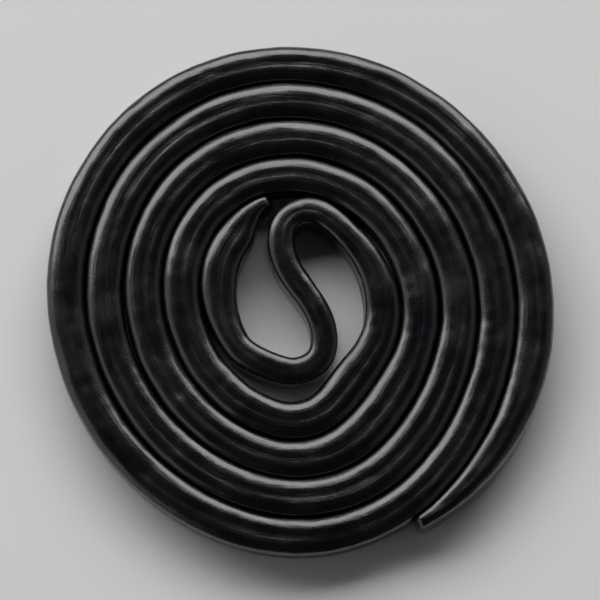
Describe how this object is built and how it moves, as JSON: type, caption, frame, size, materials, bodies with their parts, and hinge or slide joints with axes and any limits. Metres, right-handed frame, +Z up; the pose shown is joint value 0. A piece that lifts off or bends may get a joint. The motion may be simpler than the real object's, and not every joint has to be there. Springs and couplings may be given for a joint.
{
  "type": "licorice wheel",
  "caption": "Black licorice wheel: one long grooved rope, folded into an S at the middle and wound up flat into a round disc.",
  "frame": {"origin": "middle of the underside, where the wheel lies on the table", "axes": "+Z up through the thickness; +Y is the far side and +X the right side as the wheel is seen in the picture"},
  "size_m": [0.0448, 0.0458, 0.0042],
  "materials": {
    "licorice": "satin, slightly waxy black"
  },
  "bodies": {
    "root": {"licorice_wheel": "licorice"}
  },
  "joints": []
}
